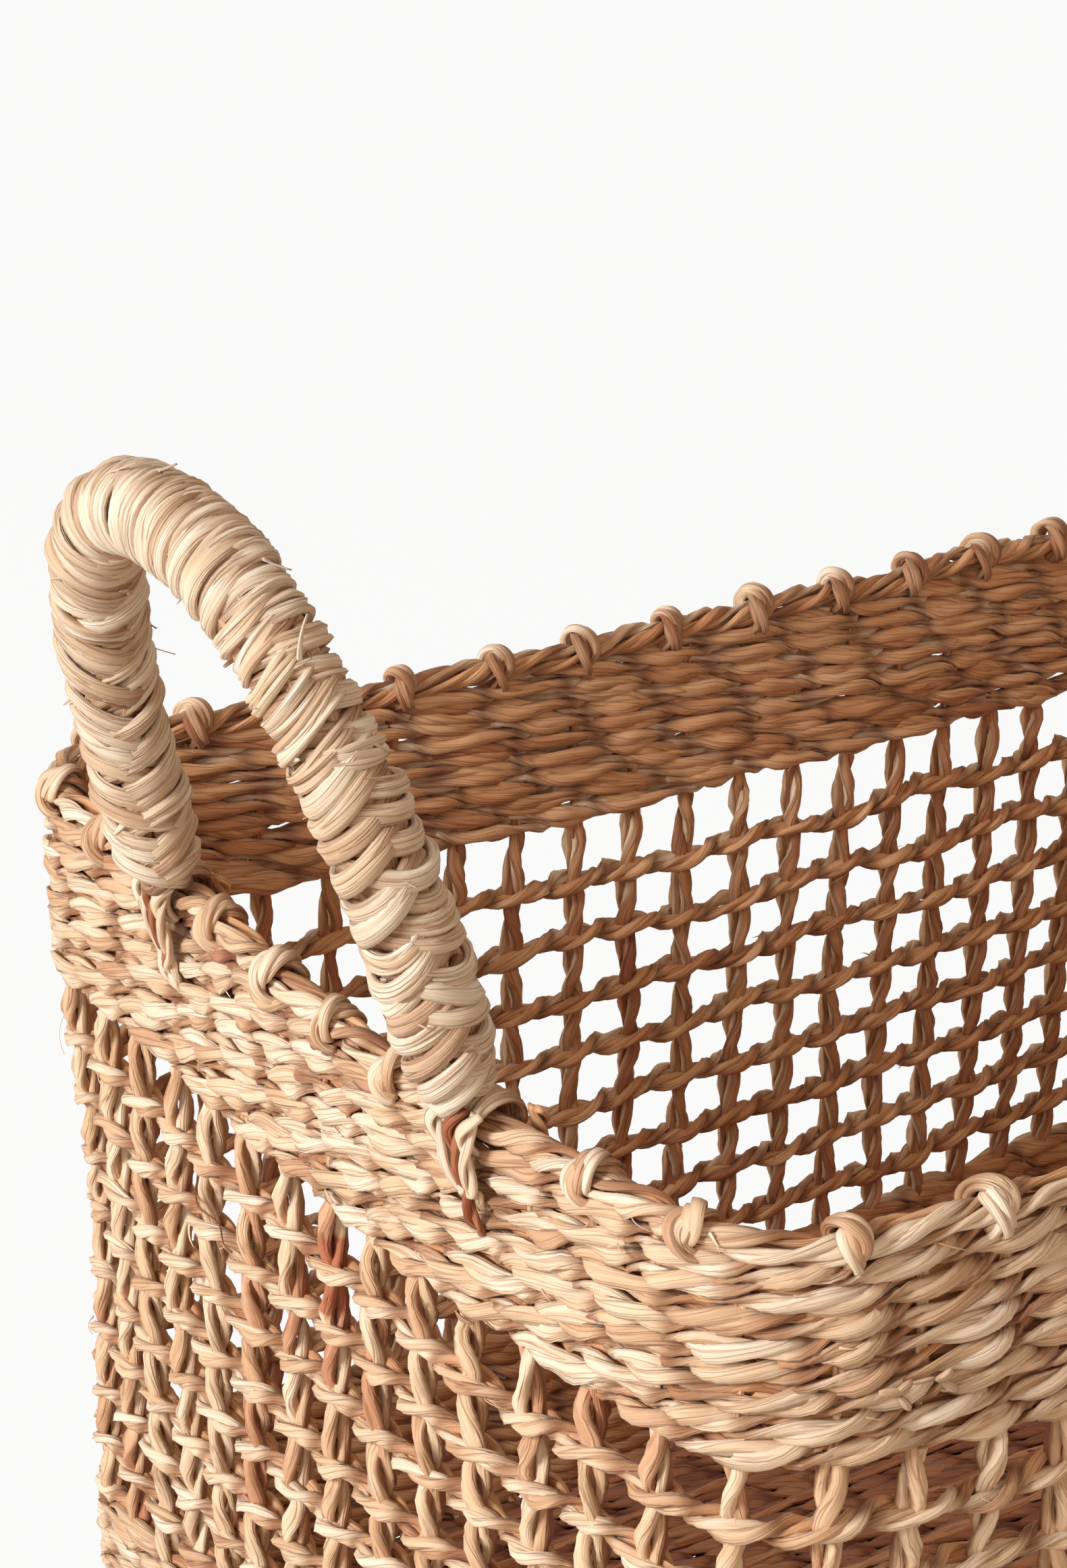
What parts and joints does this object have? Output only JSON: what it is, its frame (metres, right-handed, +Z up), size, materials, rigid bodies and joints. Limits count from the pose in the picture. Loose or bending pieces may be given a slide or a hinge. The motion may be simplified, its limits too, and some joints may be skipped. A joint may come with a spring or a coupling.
{
  "type": "laundry basket",
  "caption": "Soft rectangular open-top basket of twined seagrass: dense bands at rim and base, open-work walls between, and a wrapped rope handle on each short wall.",
  "frame": {"origin": "middle of the plan on the underside of the base", "axes": "+X along the long walls, towards the handle named right, +Y across from the front wall to the back wall, +Z up out of the open top"},
  "size_m": [0.5528, 0.3559, 0.4391],
  "materials": {
    "twined_seagrass": "dry twisted grass, straw coloured, matt with a faint waxy sheen",
    "stake_seagrass": "two loosely twisted grass strands, matt",
    "base_seagrass": "dense twined grass, browner, matt",
    "handle_core": "bundle of grass fibre, matt",
    "handle_wrap": "flat pale grass strip wound round the core, satin",
    "tie_strand": "twisted grass strands, reddish brown, matt"
  },
  "bodies": {
    "root": {"base_weave": "base_seagrass", "long_stake_01": "stake_seagrass", "long_stake_02": "stake_seagrass", "long_stake_03": "stake_seagrass", "long_stake_04": "stake_seagrass", "long_stake_05": "stake_seagrass", "long_stake_06": "stake_seagrass", "long_stake_07": "stake_seagrass", "long_stake_08": "stake_seagrass", "long_stake_09": "stake_seagrass", "long_stake_10": "stake_seagrass", "long_stake_11": "stake_seagrass", "long_stake_12": "stake_seagrass", "long_stake_13": "stake_seagrass", "long_stake_14": "stake_seagrass", "long_stake_15": "stake_seagrass", "long_stake_16": "stake_seagrass", "cross_stake_01": "stake_seagrass", "cross_stake_02": "stake_seagrass", "cross_stake_03": "stake_seagrass", "cross_stake_04": "stake_seagrass", "cross_stake_05": "stake_seagrass", "cross_stake_06": "stake_seagrass", "cross_stake_07": "stake_seagrass", "cross_stake_08": "stake_seagrass", "cross_stake_09": "stake_seagrass", "cross_stake_10": "stake_seagrass", "cross_stake_11": "stake_seagrass", "cross_stake_12": "stake_seagrass", "cross_stake_13": "stake_seagrass", "cross_stake_14": "stake_seagrass", "cross_stake_15": "stake_seagrass", "cross_stake_16": "stake_seagrass", "cross_stake_17": "stake_seagrass", "cross_stake_18": "stake_seagrass", "cross_stake_19": "stake_seagrass", "cross_stake_20": "stake_seagrass", "lower_band": "twined_seagrass", "upper_band": "twined_seagrass", "rim_cord": "twined_seagrass", "open_weft_1": "twined_seagrass", "open_weft_2": "twined_seagrass", "open_weft_3": "twined_seagrass", "open_weft_4": "twined_seagrass", "open_weft_5": "twined_seagrass", "open_weft_6": "twined_seagrass", "open_weft_7": "twined_seagrass", "open_weft_8": "twined_seagrass", "handle_left_front_tie": "tie_strand", "handle_left_back_tie": "tie_strand", "handle_right_front_tie": "tie_strand", "handle_right_back_tie": "tie_strand"},
    "handle_left": {"handle_left_core": "handle_core", "handle_left_wrap": "handle_wrap"},
    "handle_right": {"handle_right_core": "handle_core", "handle_right_wrap": "handle_wrap"}
  },
  "joints": [
    {"name": "handle_left_flex", "type": "hinge", "parent": "root", "child": "handle_left", "pos_m": [-0.233, 0, 0.3137], "axis": [0, 1, 0], "range_deg": [-12, 42]},
    {"name": "handle_right_flex", "type": "hinge", "parent": "root", "child": "handle_right", "pos_m": [0.233, 0, 0.3137], "axis": [0, -1, 0], "range_deg": [-12, 42]}
  ]
}
